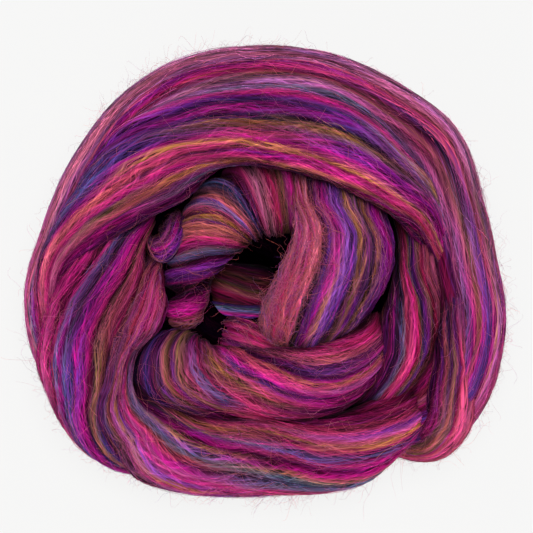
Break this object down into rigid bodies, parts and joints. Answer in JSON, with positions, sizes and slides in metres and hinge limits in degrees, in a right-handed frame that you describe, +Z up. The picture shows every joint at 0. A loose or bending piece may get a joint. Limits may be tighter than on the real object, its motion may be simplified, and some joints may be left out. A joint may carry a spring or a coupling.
{
  "type": "wool roving nest",
  "caption": "Loose rope of combed wool fibre wound into a round nest, with broad overlapping turns, a hollow in the middle and a flat underside.",
  "frame": {"origin": "centre of the nest's footprint, on the surface that it rests on", "axes": "+Z up; the broad turn that lies highest passes round the +Y side, and the open end of its crescent faces -Y; +X to the right as seen from above"},
  "size_m": [0.1992, 0.1873, 0.0892],
  "materials": {
    "wool": "matte, loose combed fibre in blended stripes"
  },
  "bodies": {
    "root": {"roving_nest": "wool"}
  },
  "joints": []
}
